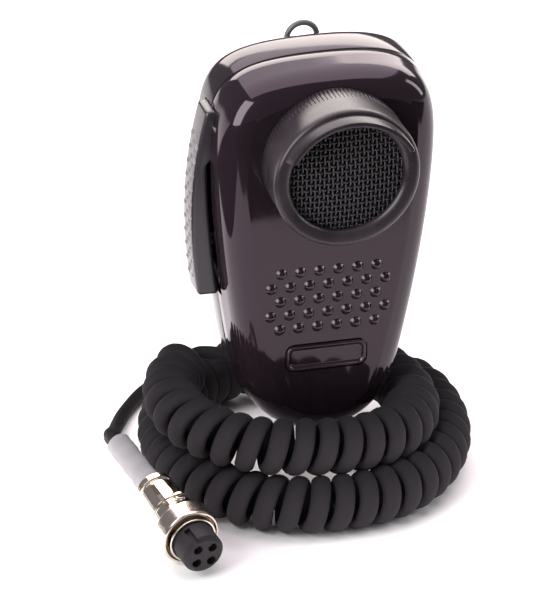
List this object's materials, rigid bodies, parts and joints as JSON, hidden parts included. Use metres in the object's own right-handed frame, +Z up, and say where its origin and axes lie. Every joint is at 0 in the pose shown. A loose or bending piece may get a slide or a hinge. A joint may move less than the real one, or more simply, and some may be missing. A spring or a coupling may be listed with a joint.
{
  "type": "hand microphone",
  "caption": "Palm-held communications microphone: glossy two-part case, round mouthpiece with wire grille and hood, side talk lever, hanging loop, curly cord and screw-on plug.",
  "frame": {"origin": "centre of the handset's own box, from talk lever to right side, hood to strain relief and case bottom to hanging loop", "axes": "+Z up along the case's height, -Y out of the mouthpiece, -X towards the talk lever"},
  "size_m": [0.1164, 0.1311, 0.141],
  "materials": {
    "gloss_black": "polished black moulded shell, clear mirror-like gloss",
    "case_black": "polished black moulded back shell",
    "lever_black": "black moulded lever with a diamond-studded grip face",
    "satin_black": "satin black moulding",
    "grille_black": "woven steel wire cloth, painted black",
    "foam": "open-cell black foam",
    "soft_rubber": "soft black rubber",
    "capsule_metal": "drawn aluminium cartridge",
    "steel": "zinc-plated steel",
    "board": "green circuit board",
    "loop_metal": "black oxide wire, a little worn",
    "cord_black": "glossy black PVC jacket",
    "clear_sleeve": "milky clear sleeve",
    "nickel": "warm nickel plate with satin turning marks",
    "insert_black": "black phenolic insert",
    "brass": "gold-flashed contacts"
  },
  "bodies": {
    "root": {"front_shell": "gloss_black", "rear_cover": "case_black", "mouthpiece_barrel": "gloss_black", "grille_mesh": "grille_black", "grille_clamp_ring": "satin_black", "windscreen_foam": "foam", "capsule_holder": "soft_rubber", "mic_capsule": "capsule_metal", "badge_plate": "gloss_black", "ptt_pivot_pin": "steel", "return_spring": "steel", "switch_body": "satin_black", "circuit_board": "board", "board_screw_1": "steel", "board_screw_2": "steel", "case_screw_1": "steel", "case_screw_2": "steel", "case_screw_3": "steel", "case_screw_4": "steel", "hanger_plate": "steel", "hanger_screw": "steel", "strain_relief": "soft_rubber", "cord_clamp": "satin_black", "cord_lead": "cord_black", "cord_coil": "cord_black", "cord_tail": "cord_black", "cord_sleeve": "clear_sleeve", "plug_clamp": "nickel", "plug_body": "nickel", "plug_screw": "nickel", "plug_insert": "insert_black", "plug_contact_1": "brass", "plug_contact_2": "brass", "plug_contact_3": "brass", "plug_contact_4": "brass"},
    "talk_lever": {"ptt_lever": "lever_black"},
    "plunger": {"switch_plunger": "satin_black"},
    "loop": {"hang_loop": "loop_metal"},
    "plug_ring": {"coupling_ring": "nickel"}
  },
  "joints": [
    {"name": "talk_lever_press", "type": "hinge", "parent": "root", "child": "talk_lever", "pos_m": [-0.03047, 0.00735, 0.04152], "axis": [0, -1, 0], "range_deg": [0, 1.5], "stiffness_Nm_per_rad": 0.6},
    {"name": "plunger_press", "type": "slide", "parent": "root", "child": "plunger", "axis": [1, 0, 0], "range_m": [0, 0.0012], "deforming": ["return_spring"]},
    {"name": "loop_fold", "type": "hinge", "parent": "root", "child": "loop", "pos_m": [0.00253, 0.02495, 0.05222], "axis": [-1, 0, 0], "range_deg": [0, 110]},
    {"name": "plug_ring_turn", "type": "hinge", "parent": "root", "child": "plug_ring", "pos_m": [-0.05072, -0.05088, -0.06878], "axis": [0.1639, -0.9765, -0.14], "continuous": true}
  ],
  "couplings": [
    {"joint": "plunger_press", "follows": "talk_lever_press", "m_per_rad": 0.042}
  ]
}
